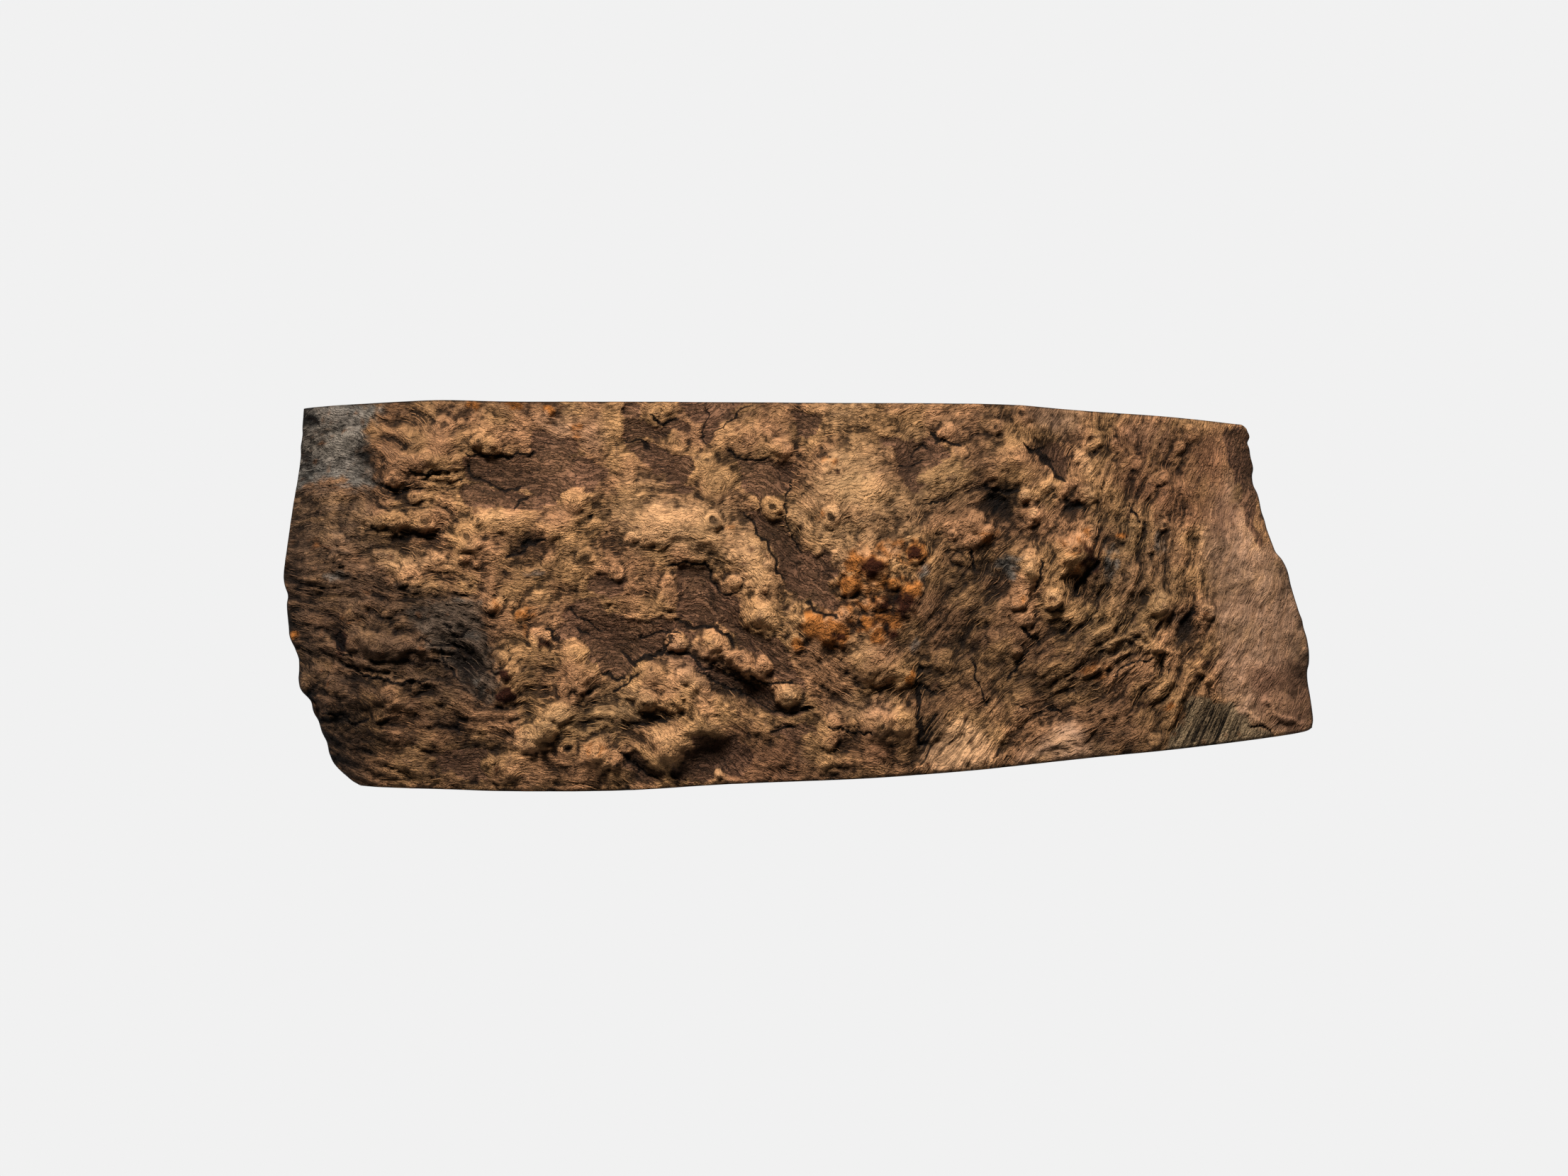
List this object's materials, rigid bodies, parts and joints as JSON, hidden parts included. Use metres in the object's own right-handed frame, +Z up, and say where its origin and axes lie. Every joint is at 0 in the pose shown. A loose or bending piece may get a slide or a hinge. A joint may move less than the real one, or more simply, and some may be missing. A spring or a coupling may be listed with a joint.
{
  "type": "briar plateau block",
  "caption": "Slab of briar burl lying on its sawn back, with sawn long sides, rough ends, and a natural face of lobes, knots, crevices and bark.",
  "frame": {"origin": "on the sawn back, under the middle of the block", "axes": "+X along the block towards its smooth reddish end, +Y across it towards the straighter sawn side, +Z up out of the natural face"},
  "size_m": [0.19, 0.072, 0.0417],
  "materials": {
    "briar_wood": "raw fibrous burl face in tan, grey and purple brown, with dry fine-sawn back and sides"
  },
  "bodies": {
    "root": {"briar_block": "briar_wood"}
  },
  "joints": []
}
